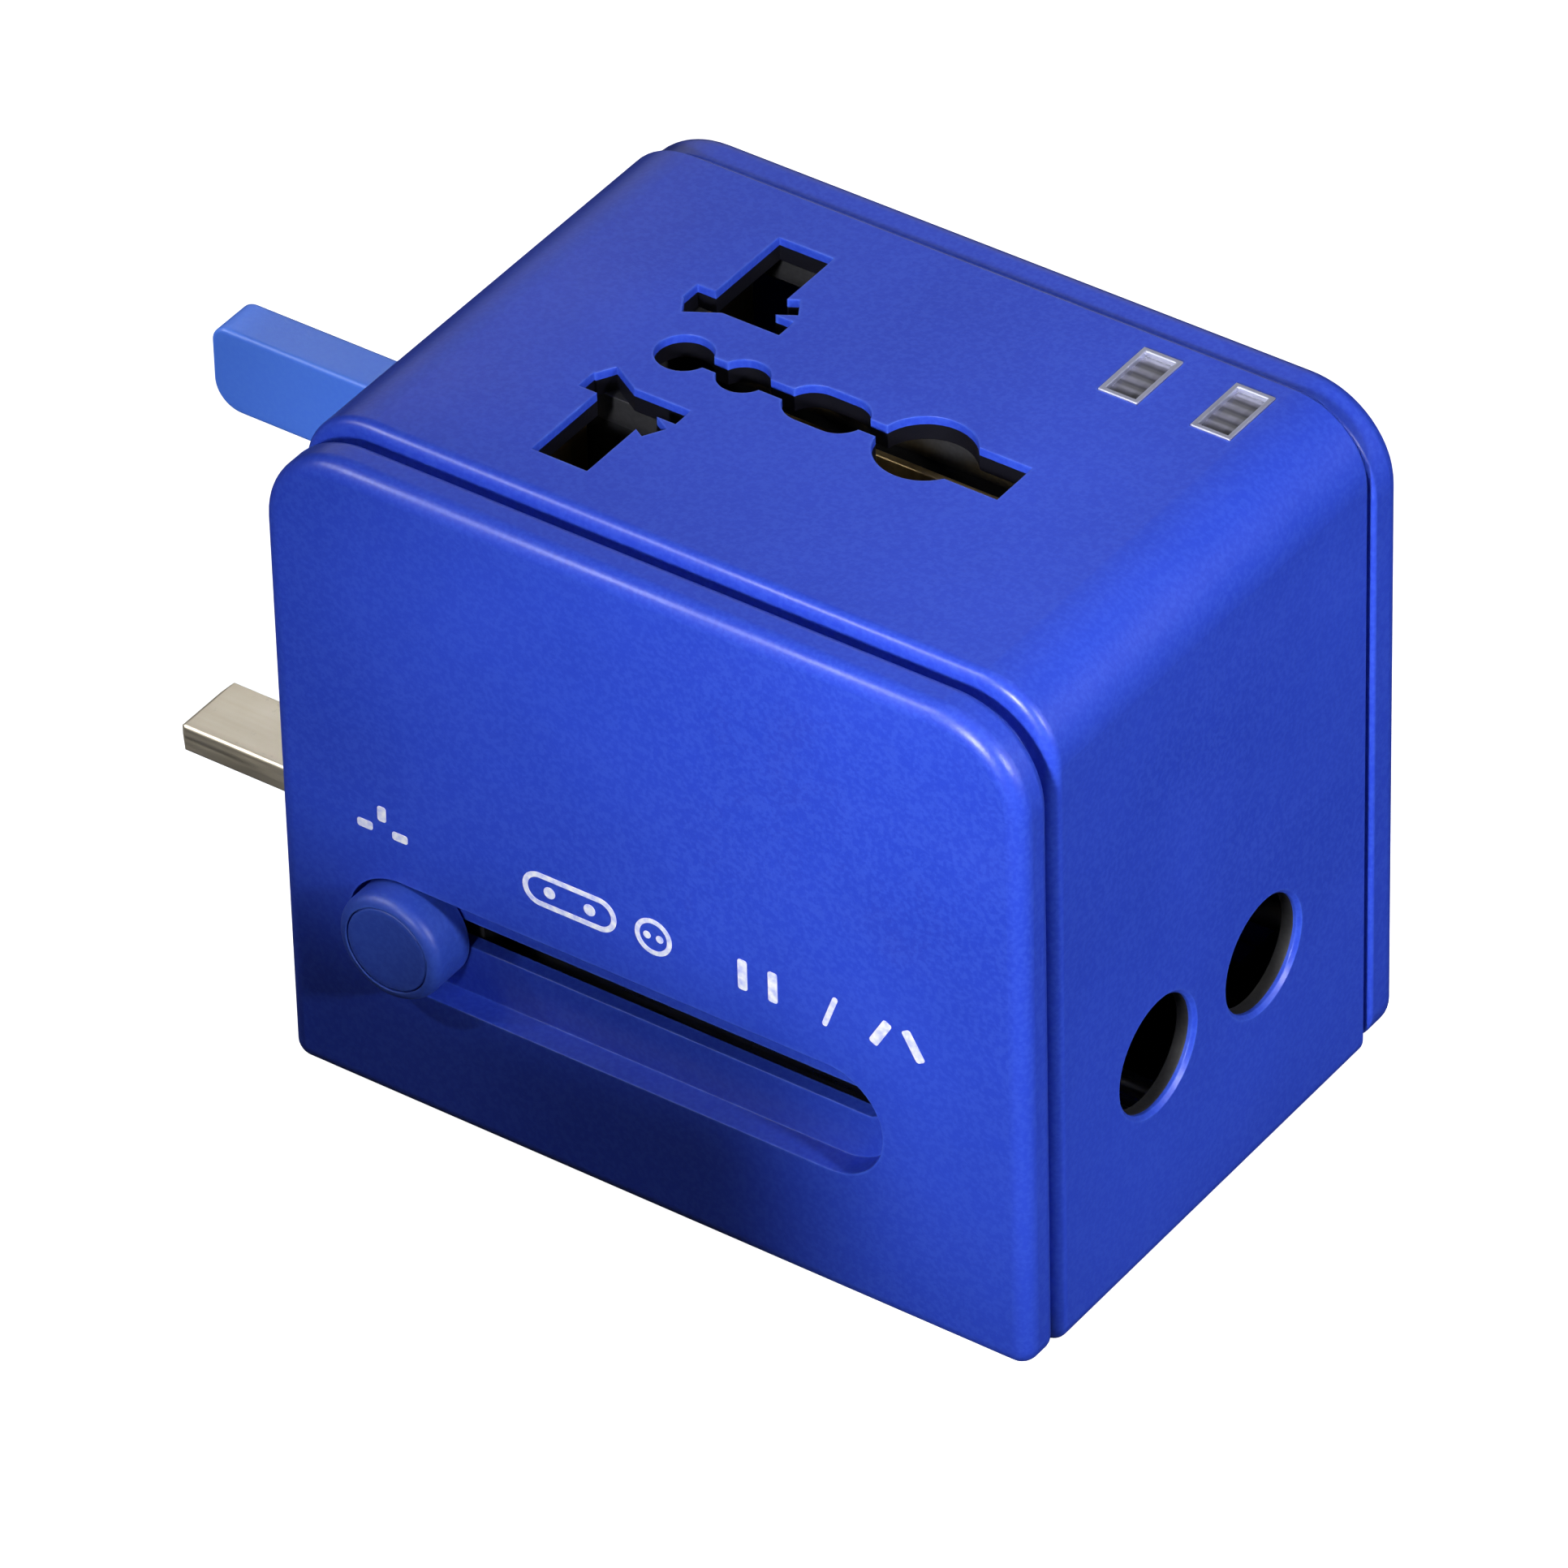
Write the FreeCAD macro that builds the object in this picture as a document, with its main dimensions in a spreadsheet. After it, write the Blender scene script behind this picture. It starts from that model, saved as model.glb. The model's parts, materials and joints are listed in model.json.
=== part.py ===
"""Universal travel adapter.

Frame: +X towards the two round pin holes, +Y away from the selector track,
+Z up. The origin is the middle of the flat base. All sizes are in millimetres.
The adapter is at rest with its rectangular plug pins out on the -X side.
"""
import FreeCAD, Part

import math
import os
from types import SimpleNamespace

import Sketcher

SHEET = "Sizes"

# name: (value, what it is)
DRIVING = {
    "width": (65.0, "overall X of the case"),
    "depth": (48.0, "overall Y of the case"),
    "height": (57.9, "overall Z of the case"),
    "cover_base": (1.0, "underside of the front cover, Z"),
    "cover_top": (57.4, "top of the covers, Z"),
    "cover_depth": (3.4, "Y depth of each cover"),
    "plate": (2.0, "thickness of a cover's plate"),
    "cover_skirt": (2.3, "thickness of a cover's rim"),
    "cover_edge": (1.4, "rounding of a cover's outer edge"),
    "seam_edge": (0.8, "rounding of the front cover's edge at its seam"),
    "back_edge": (0.3, "rounding of the back cover's edge at its seam"),
    "back_base": (0.4, "underside of the back cover, Z"),
    "back_base_corner": (3.0, "back cover corner radius at the base"),
    "top_corner": (7.3, "cover corner radius at the top"),
    "base_corner": (1.5, "case corner radius at the base"),
    "inner_corner": (0.5, "corner radius inside the case at the base"),
    "seam": (1.2, "width of the groove behind the front cover"),
    "back_seam": (0.4, "width of the groove before the back cover"),
    "housing_inset": (0.3, "housing side below the cover's side"),
    "housing_corner": (6.1, "housing corner radius at the top"),
    "housing_edge": (0.9, "rounding of the housing's front edge"),
    "housing_back_edge": (0.3, "rounding of the housing's back edge"),
    "groove_inset": (1.8, "depth of the grooves from the covers' sides"),
    "lip_inset": (2.5, "outside of the lip that enters a cover"),
    "lip_wall": (1.2, "wall of that lip"),
    "wall": (2.0, "housing wall"),
    "end_ring": (0.6, "Y length of the thick ring at each housing end"),
    "post_x": (26.6, "corner posts, half spacing in X"),
    "post_low": (7.0, "lower corner posts, Z"),
    "post_high": (44.5, "upper corner posts, Z"),
    "post_radius": (2.6, "corner post radius"),
    "post_length": (7.0, "corner post length"),
    "peg_radius": (1.2, "radius of the pegs that align the front cover"),
    "peg_length": (5.0, "length of those pegs"),
    "screw_radius": (1.1, "case screw shank radius"),
    "screw_head": (2.1, "case screw head radius"),
    "screw_sunk": (1.0, "depth of a screw head's seat face below the back"),
    "screw_reach": (6.0, "length of a screw inside its post"),
    "track_z": (17.0, "height of the selector track"),
    "track_radius": (4.8, "half height of the track recess"),
    "track_depth": (2.2, "depth of the track recess"),
    "track_tray": (1.4, "wall round the track recess"),
    "track_left": (-21.6, "left end centre of the track"),
    "track_right": (15.5, "right end centre of the track"),
    "slit": (2.3, "height of the slit in the track's floor"),
    "slit_z": (17.6, "height of the slit's middle line"),
    "slit_reach": (2.0, "slit end centres beyond the track's end centres"),
    "knob_radius": (4.5, "selector knob radius"),
    "knob_proud": (2.1, "how far the knob stands out"),
    "knob_bore": (3.6, "bore for the unlock button"),
    "button_radius": (3.52, "unlock button radius"),
    "tongue_length": (5.0, "selector tongue, X"),
    "tongue_height": (1.7, "selector tongue, Z"),
    "select_travel": (37.0, "travel of the selector"),
    "pin_spacing": (22.2, "live and neutral pins, centre to centre"),
    "pin_long": (6.35, "live and neutral pins, wide side"),
    "pin_short": (2.4, "live and neutral pins, thin side"),
    "pin_nose": (0.8, "taper at the tip of the live and neutral pins"),
    "pin_length": (17.2, "live and neutral pins beyond the housing"),
    "earth_length": (21.6, "earth pin beyond the housing"),
    "earth_thick": (4.0, "earth pin, thin side"),
    "earth_tall": (7.2, "earth pin, tall side"),
    "earth_low_corner": (2.4, "rounding of the earth pin's lower tip corner"),
    "earth_high_corner": (1.4, "rounding of the earth pin's upper tip corner"),
    "live_z": (17.1, "height of the live and neutral pins"),
    "earth_rise": (24.4, "earth pin above the live pins"),
    "pin_gap": (0.35, "clearance round a pin in its slot"),
    "rivet": (1.0, "radius of the rivets that hold the pins"),
    "sheet_back": (0.3, "gap between carriage and wall"),
    "carriage": (2.4, "thickness of the pin carriage"),
    "shoulder_z": (22.8, "top of the carriage's wide part, Z"),
    "rod_y": (16.2, "guide rods, half spacing in Y"),
    "rod_z": (14.0, "guide rods, height"),
    "rod_radius": (1.5, "guide rod radius"),
    "rod_sunk": (1.0, "depth of a guide rod's seat in the left wall"),
    "rib_left": (-6.0, "left face of the rib that holds the yoke rod, X"),
    "running": (0.06, "radial clearance of a running fit"),
    "hole_y": (6.8, "round pin holes, half spacing"),
    "hole_z": (18.3, "round pin holes, height"),
    "hole_radius": (4.7, "round pin hole radius"),
    "hole_wall": (1.6, "housing wall at the round holes"),
    "hole_lip": (0.6, "part of that wall in front of the liners"),
    "liner": (0.5, "wall of the liners in the round holes"),
    "blade_y": (6.35, "flat blades, half spacing"),
    "blade_z": (18.0, "flat blades, height"),
    "blade_tall": (6.3, "flat blade, wide side"),
    "blade_thick": (1.5, "flat blade, thin side"),
    "blade_out": (16.2, "flat blades beyond the housing when out"),
    "journal": (1.5, "radius of a blade's turning journal"),
    "journal_head": (2.1, "radius of the head on that journal"),
    "round_y": (9.25, "round pins, half spacing"),
    "round_z": (18.6, "round pins, height"),
    "round_radius": (1.95, "round pin radius"),
    "round_tip": (28.6, "round pin tips at rest, X"),
    "foot_y": (10.2, "rivets of the round pins, half spacing"),
    "yoke_left": (10.2, "left face of the round pins' yoke, X"),
    "yoke": (1.6, "thickness of the yoke's arms"),
    "arm_inner": (8.95, "inner face of the yoke's arms, from the middle"),
    "slot_x": (-12.4, "live and neutral openings, X"),
    "earth_x": (8.2, "large earth opening, X"),
    "window_x": (16.1, "first indicator window, X"),
    "window_step": (7.8, "distance between the indicator windows"),
    "window_y": (15.4, "indicator windows, Y"),
    "window_long": (6.0, "indicator window, Y"),
    "window_wide": (3.4, "indicator window, X"),
    "frame_wall": (0.35, "wall of an indicator window's frame"),
    "board_top": (49.6, "top of the circuit board, Z"),
    "strip": (0.6, "thickness of the contact strips"),
    "wiper_z": (20.3, "underside of the wipers, Z"),
    "rim": (0.3, "small edge rounding"),
}


class Size:
    """A number that remembers how it follows from the sheet's cells."""

    def __init__(self, text, number):
        self.text = text
        self.number = number

    def __add__(self, other):
        other = as_size(other)
        return Size(f"({self.text} + {other.text})", self.number + other.number)

    def __sub__(self, other):
        other = as_size(other)
        return Size(f"({self.text} - {other.text})", self.number - other.number)

    def __mul__(self, other):
        other = as_size(other)
        return Size(f"({self.text} * {other.text})", self.number * other.number)

    def __truediv__(self, other):
        other = as_size(other)
        return Size(f"({self.text} / {other.text})", self.number / other.number)

    def __radd__(self, other):
        return as_size(other) + self

    def __rsub__(self, other):
        return as_size(other) - self

    def __rmul__(self, other):
        return as_size(other) * self

    def __neg__(self):
        return as_size(0) - self


def as_size(value):
    if isinstance(value, Size):
        return value
    return Size(f"({float(value)})", float(value))


doc = FreeCAD.newDocument("travel_adapter")
sheet = doc.addObject("Spreadsheet::Sheet", SHEET)
for row, (alias, (amount, meaning)) in enumerate(DRIVING.items(), start=1):
    sheet.set(f"A{row}", meaning)
    sheet.set(f"B{row}", str(amount))
    sheet.setAlias(f"B{row}", alias)
doc.recompute()
sizes = {alias: Size(f"{SHEET}.{alias}", amount) for alias, (amount, _) in DRIVING.items()}
s = SimpleNamespace(**sizes)

NODES = []


def node(feature, name):
    """Marks a finished feature as the sub-part called name."""
    feature.Label = name
    NODES.append(feature)
    return feature


def unique(name):
    count = 1
    while doc.getObject(f"{name}_{count}"):
        count += 1
    return f"{name}_{count}"


# ---------------------------------------------------------------- primitives

def place(feature, x, y, z):
    for axis, value in zip("xyz", (x, y, z)):
        feature.setExpression(f"Placement.Base.{axis}", as_size(value).text)


def box(x, y, z):
    """A box between two limits along each axis."""
    solid = doc.addObject("Part::Box", unique("block"))
    for side, (low, high) in zip(("Length", "Width", "Height"), (x, y, z)):
        solid.setExpression(side, (as_size(high) - as_size(low)).text)
    place(solid, x[0], y[0], z[0])
    return solid


TURN = {
    "x": FreeCAD.Rotation(FreeCAD.Vector(0, 1, 0), 90),
    "y": FreeCAD.Rotation(FreeCAD.Vector(1, 0, 0), -90),
    "z": FreeCAD.Rotation(),
}


def rod(axis, start, end, radius, centre):
    """A round bar along an axis; centre is its place on the other two axes, in X, Y, Z order."""
    solid = doc.addObject("Part::Cylinder", unique("bar"))
    solid.setExpression("Radius", as_size(radius).text)
    solid.setExpression("Height", (as_size(end) - as_size(start)).text)
    solid.Placement = FreeCAD.Placement(FreeCAD.Vector(), TURN[axis])
    point = list(centre)
    point.insert("xyz".index(axis), start)
    place(solid, *point)
    return solid


def fuse(*shapes):
    joined = doc.addObject("Part::MultiFuse", unique("union"))
    joined.Shapes = list(shapes)
    joined.Refine = True
    return joined


def cut(base, *tools):
    tool = tools[0] if len(tools) == 1 else fuse(*tools)
    result = doc.addObject("Part::Cut", unique("cut"))
    result.Base = base
    result.Tool = tool
    result.Refine = True
    return result


def group(*shapes):
    """Several separate solids in one sub-part."""
    bundle = doc.addObject("Part::Compound", unique("group"))
    bundle.Links = list(shapes)
    return bundle


def rounded(base, radius, wanted):
    """Rounds the edges of base for which wanted(edge) holds."""
    doc.recompute()
    chosen = [
        (index, radius.number, radius.number)
        for index, edge in enumerate(base.Shape.Edges, start=1)
        if wanted(edge)
    ]
    result = doc.addObject("Part::Fillet", unique("round"))
    result.Base = base
    result.Edges = chosen
    return result


# ---------------------------------------------------------------- sketches

PLANES = {"x": "YZ_Plane", "y": "XZ_Plane", "z": "XY_Plane"}


def new_body(name):
    body = doc.addObject("PartDesign::Body", name)
    return node(body, name)


def new_sketch(body, axis, at):
    """A sketch square to an axis, at a place along it."""
    sketch = body.newObject("Sketcher::SketchObject", unique("sketch"))
    plane = [item for item in body.Origin.OriginFeatures if item.Role == PLANES[axis]][0]
    sketch.AttachmentSupport = [(plane, "")]
    sketch.MapMode = "FlatFace"
    offset = -as_size(at) if axis == "y" else as_size(at)
    sketch.setExpression("AttachmentOffset.Base.z", offset.text)
    return sketch


def bind(sketch, kind, where, value):
    value = as_size(value)
    index = sketch.addConstraint(Sketcher.Constraint(kind, *where, value.number))
    sketch.setExpression(f"Constraints[{index}]", value.text)


def draw_circle(sketch, centre, radius):
    u, v = (as_size(value) for value in centre)
    radius = as_size(radius)
    middle = FreeCAD.Vector(u.number, v.number, 0)
    index = sketch.addGeometry(Part.Circle(middle, FreeCAD.Vector(0, 0, 1), radius.number))
    bind(sketch, "Radius", (index,), radius)
    bind(sketch, "DistanceX", (-1, 1, index, 3), u)
    bind(sketch, "DistanceY", (-1, 1, index, 3), v)


def draw_polygon(sketch, points):
    corners = [[as_size(value) for value in point] for point in points]
    first = sketch.GeometryCount
    count = len(corners)
    for start, end in zip(corners, corners[1:] + corners[:1]):
        ends = [FreeCAD.Vector(point[0].number, point[1].number, 0) for point in (start, end)]
        sketch.addGeometry(Part.LineSegment(*ends))
    for step in range(count):
        follower = first + (step + 1) % count
        sketch.addConstraint(Sketcher.Constraint("Coincident", first + step, 2, follower, 1))
    for step, (u, v) in enumerate(corners):
        bind(sketch, "DistanceX", (-1, 1, first + step, 1), u)
        bind(sketch, "DistanceY", (-1, 1, first + step, 1), v)


def draw_rectangle(sketch, u, v):
    left, right = u
    low, high = v
    draw_polygon(sketch, [(left, low), (right, low), (right, high), (left, high)])


def draw_rounded(sketch, u, v, radii):
    """A rectangle with rounded corners; radii run from the lower left anticlockwise."""
    left, right = (as_size(value) for value in u)
    low, high = (as_size(value) for value in v)
    radii = [as_size(value) for value in radii]
    corners = [(left, low, 1, 1), (right, low, -1, 1), (right, high, -1, -1), (left, high, 1, -1)]
    first = sketch.GeometryCount
    for turn, ((x, y, dx, dy), radius) in enumerate(zip(corners, radii)):
        middle = FreeCAD.Vector(x.number + dx * radius.number, y.number + dy * radius.number, 0)
        circle = Part.Circle(middle, FreeCAD.Vector(0, 0, 1), radius.number)
        start = math.pi + turn * math.pi / 2
        sketch.addGeometry(Part.ArcOfCircle(circle, start, start + math.pi / 2))
    for turn in range(4):
        here = sketch.getPoint(first + turn, 2)
        there = sketch.getPoint(first + (turn + 1) % 4, 1)
        line = sketch.addGeometry(Part.LineSegment(here, there))
        sketch.addConstraint(Sketcher.Constraint("Tangent", first + turn, 2, line, 1))
        sketch.addConstraint(Sketcher.Constraint("Tangent", line, 2, first + (turn + 1) % 4, 1))
        sketch.addConstraint(Sketcher.Constraint("Vertical" if turn % 2 else "Horizontal", line))
    for turn, radius in enumerate(radii):
        bind(sketch, "Radius", (first + turn,), radius)
    bottom, right_side, top, left_side = range(first + 4, first + 8)
    bind(sketch, "DistanceY", (-1, 1, bottom, 1), low)
    bind(sketch, "DistanceX", (-1, 1, right_side, 1), right)
    bind(sketch, "DistanceY", (-1, 1, top, 1), high)
    bind(sketch, "DistanceX", (-1, 1, left_side, 1), left)


def draw_stadium(sketch, u, centre_v, radius):
    """A slot with round ends whose end centres lie at the two values of u."""
    left, right = (as_size(value) for value in u)
    radius = as_size(radius)
    centre_v = as_size(centre_v)
    ends = []
    for middle, start in ((left, math.pi / 2), (right, -math.pi / 2)):
        point = FreeCAD.Vector(middle.number, centre_v.number, 0)
        circle = Part.Circle(point, FreeCAD.Vector(0, 0, 1), radius.number)
        ends.append(sketch.addGeometry(Part.ArcOfCircle(circle, start, start + math.pi)))
    for here, there in (ends, ends[::-1]):
        line = sketch.addGeometry(Part.LineSegment(sketch.getPoint(here, 2), sketch.getPoint(there, 1)))
        sketch.addConstraint(Sketcher.Constraint("Tangent", here, 2, line, 1))
        sketch.addConstraint(Sketcher.Constraint("Tangent", line, 2, there, 1))
    bind(sketch, "Radius", (ends[0],), radius)
    for index, middle in zip(ends, (left, right)):
        bind(sketch, "DistanceX", (-1, 1, index, 3), middle)
        bind(sketch, "DistanceY", (-1, 1, index, 3), centre_v)


def extrude(body, kind, axis, start, end, *drawings):
    """A Pad or Pocket from start to end along an axis, of the closed outlines drawn.

    Each drawing is a function of the sketch. A pocket has to remove material.
    """
    sketch = new_sketch(body, axis, start)
    for drawing in drawings:
        drawing(sketch)
    feature = body.newObject(f"PartDesign::{kind}", unique(kind.lower()))
    feature.Profile = sketch
    feature.setExpression("Length", (as_size(end) - as_size(start)).text)
    feature.Reversed = (axis == "y") == (kind == "Pad")
    before = body.Shape.Volume if kind == "Pocket" else 0
    doc.recompute()
    if kind == "Pocket" and body.Shape.Volume > before - 0.01:
        raise RuntimeError(f"{feature.Name} of {body.Label} removes nothing")
    return feature


def circle_at(centre, radius):
    return lambda sketch: draw_circle(sketch, centre, radius)


def rectangle_at(u, v):
    return lambda sketch: draw_rectangle(sketch, u, v)


def polygon_at(points):
    return lambda sketch: draw_polygon(sketch, points)


def rounded_at(u, v, radii):
    return lambda sketch: draw_rounded(sketch, u, v, radii)


def stadium_at(u, centre_v, radius):
    return lambda sketch: draw_stadium(sketch, u, centre_v, radius)


def dress(body, kind, size, wanted):
    """A Fillet or Chamfer on the edges of the body's tip for which wanted(edge) holds."""
    doc.recompute()
    tip = body.Tip
    names = [f"Edge{i}" for i, edge in enumerate(tip.Shape.Edges, start=1) if wanted(edge)]
    feature = body.newObject(f"PartDesign::{kind}", unique(kind.lower()))
    feature.Base = (tip, names)
    feature.setExpression("Radius" if kind == "Fillet" else "Size", size.text)
    doc.recompute()
    return feature


def lies_at(axis, value):
    """Tells whether an edge lies wholly at one place along an axis."""
    def wanted(edge):
        limits = edge.BoundBox
        low, high = getattr(limits, axis + "Min"), getattr(limits, axis + "Max")
        return abs(low - value.number) < 0.01 and abs(high - value.number) < 0.01
    return wanted


# ---------------------------------------------------------------- shared places

half_width = s.width / 2
half_depth = s.depth / 2
seam_y = half_depth - s.cover_depth
ring_y = seam_y - s.seam
lip_y = half_depth - s.plate - 0.6
cavity_y = ring_y - s.end_ring
inner_face = -half_depth + s.plate
housing_side = half_width - s.housing_inset
cavity_left = -(housing_side - s.wall)
cavity_right = housing_side - s.hole_wall
cavity_top = s.height - s.wall
plate_left = cavity_left + s.sheet_back
plate_right = plate_left + s.carriage
earth_z = s.live_z + s.earth_rise
pin_y = s.pin_spacing / 2
blade_tip = housing_side + s.blade_out - s.select_travel
yoke_right = s.yoke_left + s.yoke
track_floor = -half_depth + s.track_depth
knob_front = -half_depth - s.knob_proud
knob_back = track_floor - 0.3
arm_front = -seam_y + 0.3
post_places = [(x, z) for x in (-s.post_x, s.post_x) for z in (s.post_low, s.post_high)]
rod_places = [(y, s.rod_z) for y in (-s.rod_y, s.rod_y)]
hole_places = [(y, s.hole_z) for y in (-s.hole_y, s.hole_y)]
blade_places = [(y, s.blade_z) for y in (-s.blade_y, s.blade_y)]
yoke_rod_place = (0, 7)


def sorted_sides(side, inner, outer):
    """Two distances from the middle plane as ordered limits on one side of it."""
    limits = (side * inner, side * outer)
    return limits if side > 0 else limits[::-1]


def case_outline(inset, top_radius, base_radius):
    """The covers' outline in XZ, brought in by an inset on every side."""
    inset = as_size(inset)
    return rounded_at(
        (-half_width + inset, half_width - inset),
        (s.cover_base + inset, s.cover_top - inset),
        (base_radius, base_radius, top_radius, top_radius),
    )


# ---------------------------------------------------------------- case

def new_cover(name, side, outline, seam_rounding):
    """A plate with a rim that is open towards the middle of the case."""
    body = new_body(name)
    extrude(body, "Pad", "y", *sorted_sides(side, seam_y, half_depth), outline)
    dress(body, "Fillet", s.cover_edge, lies_at("Y", side * half_depth))
    dress(body, "Fillet", seam_rounding, lies_at("Y", side * seam_y))
    inner = case_outline(s.cover_skirt, s.top_corner - s.cover_skirt, s.inner_corner)
    extrude(body, "Pocket", "y", *sorted_sides(side, seam_y, half_depth - s.plate), inner)
    return body


def make_front_cover():
    outline = case_outline(0, s.top_corner, s.base_corner)
    body = new_cover("front_cover", -1, outline, s.seam_edge)
    ends = (s.track_left, s.track_right)
    tray = stadium_at(ends, s.track_z, s.track_radius + s.track_tray)
    extrude(body, "Pad", "y", -half_depth + s.plate / 2, -seam_y, tray)
    extrude(body, "Pocket", "y", -half_depth, track_floor, stadium_at(ends, s.track_z, s.track_radius))
    slit_ends = (s.track_left - s.slit_reach, s.track_right + s.slit_reach)
    slit = stadium_at(slit_ends, s.slit_z, s.slit / 2)
    extrude(body, "Pocket", "y", track_floor, -seam_y, slit)
    pegs = [circle_at(place_xz, s.peg_radius) for place_xz in post_places]
    extrude(body, "Pad", "y", -half_depth + s.plate / 2, inner_face + s.peg_length, *pegs)


def make_back_cover():
    outline = rounded_at(
        (-half_width, half_width),
        (s.back_base, s.cover_top),
        (s.back_base_corner, s.back_base_corner, s.top_corner, s.top_corner),
    )
    body = new_cover("back_cover", 1, outline, s.back_edge)
    holes = [circle_at(place_xz, s.screw_radius + 0.1) for place_xz in post_places]
    extrude(body, "Pocket", "y", half_depth - s.plate, half_depth, *holes)
    seats = [circle_at(place_xz, s.screw_head + 0.2) for place_xz in post_places]
    extrude(body, "Pocket", "y", half_depth - s.screw_sunk - 0.1, half_depth, *seats)


def socket_openings():
    """The outlines cut in the top: lists of shapes that don't touch each other."""
    slanted = []
    for side in (-1, 1):
        run, rise = 3.6, 2.08
        middle_y = 6.86
        half = 0.95
        across = (half * 0.5, half * 0.866)
        ends = [
            (s.slot_x - run, side * (middle_y - rise)),
            (s.slot_x + run, side * (middle_y + rise)),
        ]
        corners = [
            (ends[0][0] - across[0], ends[0][1] + side * across[1]),
            (ends[0][0] + across[0], ends[0][1] - side * across[1]),
            (ends[1][0] + across[0], ends[1][1] - side * across[1]),
            (ends[1][0] - across[0], ends[1][1] + side * across[1]),
        ]
        slanted.append(polygon_at(corners))
    flat_x = (s.slot_x - 4.1, s.slot_x + 4.3)
    wide_x = (s.slot_x - 2.5, s.slot_x + 2.3)
    flat = [rectangle_at(flat_x, sorted_sides(side, 5.4, 7.3)) for side in (-1, 1)]
    wide = [rectangle_at(wide_x, sorted_sides(side, 7.0, 15.2)) for side in (-1, 1)]
    large = [circle_at((s.slot_x - 0.1, 0), 2.2), circle_at((s.earth_x, 0), 3.8)]
    small = [circle_at((s.slot_x + 5.0, 0), 2.0)]
    oval = [stadium_at((s.slot_x + 11.0, s.slot_x + 13.3), 0, 2.25)]
    link = [rectangle_at((s.slot_x - 0.1, s.earth_x), (-0.75, 0.75))]
    tail = [rectangle_at((s.earth_x, s.earth_x + 7.6), (-2.2, 2.2))]
    return slanted, flat, wide, large, small, oval, link, tail


def pin_slot(y, z, wide, tall):
    """A slot in the left wall that clears a pin centred at y, z."""
    y, z = as_size(y), as_size(z)
    across = wide / 2 + s.pin_gap
    up = tall / 2 + s.pin_gap
    return rectangle_at((y - across, y + across), (z - up, z + up))


def make_middle_housing():
    body = new_body("middle_housing")
    block = rounded_at(
        (-housing_side, housing_side),
        (0, s.height),
        (s.base_corner, s.base_corner, s.housing_corner, s.housing_corner),
    )
    back_y = seam_y - s.back_seam
    extrude(body, "Pad", "y", -ring_y, back_y, block)
    dress(body, "Fillet", s.housing_edge, lies_at("Y", -ring_y))
    dress(body, "Fillet", s.housing_back_edge, lies_at("Y", back_y))
    neck = case_outline(s.groove_inset, s.top_corner - s.groove_inset, s.inner_corner)
    extrude(body, "Pad", "y", -seam_y, seam_y, neck)
    lip = case_outline(s.lip_inset, s.top_corner - s.lip_inset, s.inner_corner)
    extrude(body, "Pad", "y", -lip_y, lip_y, lip)
    bore_inset = s.lip_inset + s.lip_wall
    bore = case_outline(bore_inset, s.top_corner - bore_inset, s.inner_corner)
    extrude(body, "Pocket", "y", -lip_y, lip_y, bore)
    cavity_corner = s.housing_corner - s.wall
    cavity = rounded_at(
        (cavity_left, cavity_right),
        (s.wall, cavity_top),
        (s.inner_corner, s.inner_corner, cavity_corner, cavity_corner),
    )
    extrude(body, "Pocket", "y", -cavity_y, cavity_y, cavity)
    posts = [circle_at(place_xz, s.post_radius) for place_xz in post_places]
    for start, end in ((-lip_y, s.post_length - lip_y), (lip_y - s.post_length, lip_y)):
        extrude(body, "Pad", "y", start, end, *posts)
    peg_holes = [circle_at(place_xz, s.peg_radius + 0.05) for place_xz in post_places]
    extrude(body, "Pocket", "y", -lip_y, s.peg_length - lip_y, *peg_holes)
    pilots = [circle_at(place_xz, s.screw_radius) for place_xz in post_places]
    extrude(body, "Pocket", "y", lip_y - s.screw_reach - 0.4, lip_y, *pilots)
    above = s.height + 1
    for outlines in socket_openings():
        extrude(body, "Pocket", "z", cavity_top - 1, above, *outlines)
    windows = [rectangle_at(*window_limits(x, 0)) for x in window_places]
    extrude(body, "Pocket", "z", cavity_top - 1, above, *windows)
    liner_seats = [circle_at(place_yz, s.hole_radius + s.liner) for place_yz in hole_places]
    extrude(body, "Pocket", "x", cavity_right - 1, housing_side - s.hole_lip, *liner_seats)
    holes = [circle_at(place_yz, s.hole_radius) for place_yz in hole_places]
    extrude(body, "Pocket", "x", cavity_right - 1, half_width, *holes)
    slots = [pin_slot(y, s.live_z, s.pin_long, s.pin_short) for y in (-pin_y, pin_y)]
    slots.append(pin_slot(0, earth_z, s.earth_thick, s.earth_tall))
    extrude(body, "Pocket", "x", -half_width, cavity_left + 0.5, *slots)
    bosses = [circle_at(place_yz, s.rod_radius + 1.1) for place_yz in rod_places]
    extrude(body, "Pad", "x", cavity_right - 1, cavity_right + 0.5, *bosses)
    seats = [circle_at(place_yz, s.rod_radius) for place_yz in rod_places]
    extrude(body, "Pocket", "x", cavity_left - s.rod_sunk, cavity_left, *seats)
    seats.append(circle_at(yoke_rod_place, s.rod_radius))
    extrude(body, "Pocket", "x", cavity_right - 1, cavity_right + 0.6, *seats)
    floor_rib = rectangle_at((-3.5, 3.5), (s.wall - 0.5, 10.0))
    extrude(body, "Pad", "x", s.rib_left, s.rib_left + 2, floor_rib)
    extrude(body, "Pocket", "x", s.rib_left, s.rib_left + 2, circle_at(yoke_rod_place, s.rod_radius))

    def hole_edge(edge):
        limits = edge.BoundBox
        return lies_at("X", housing_side)(edge) and limits.YLength < 11 and limits.ZMax < 25

    dress(body, "Chamfer", s.rim, hole_edge)


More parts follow.
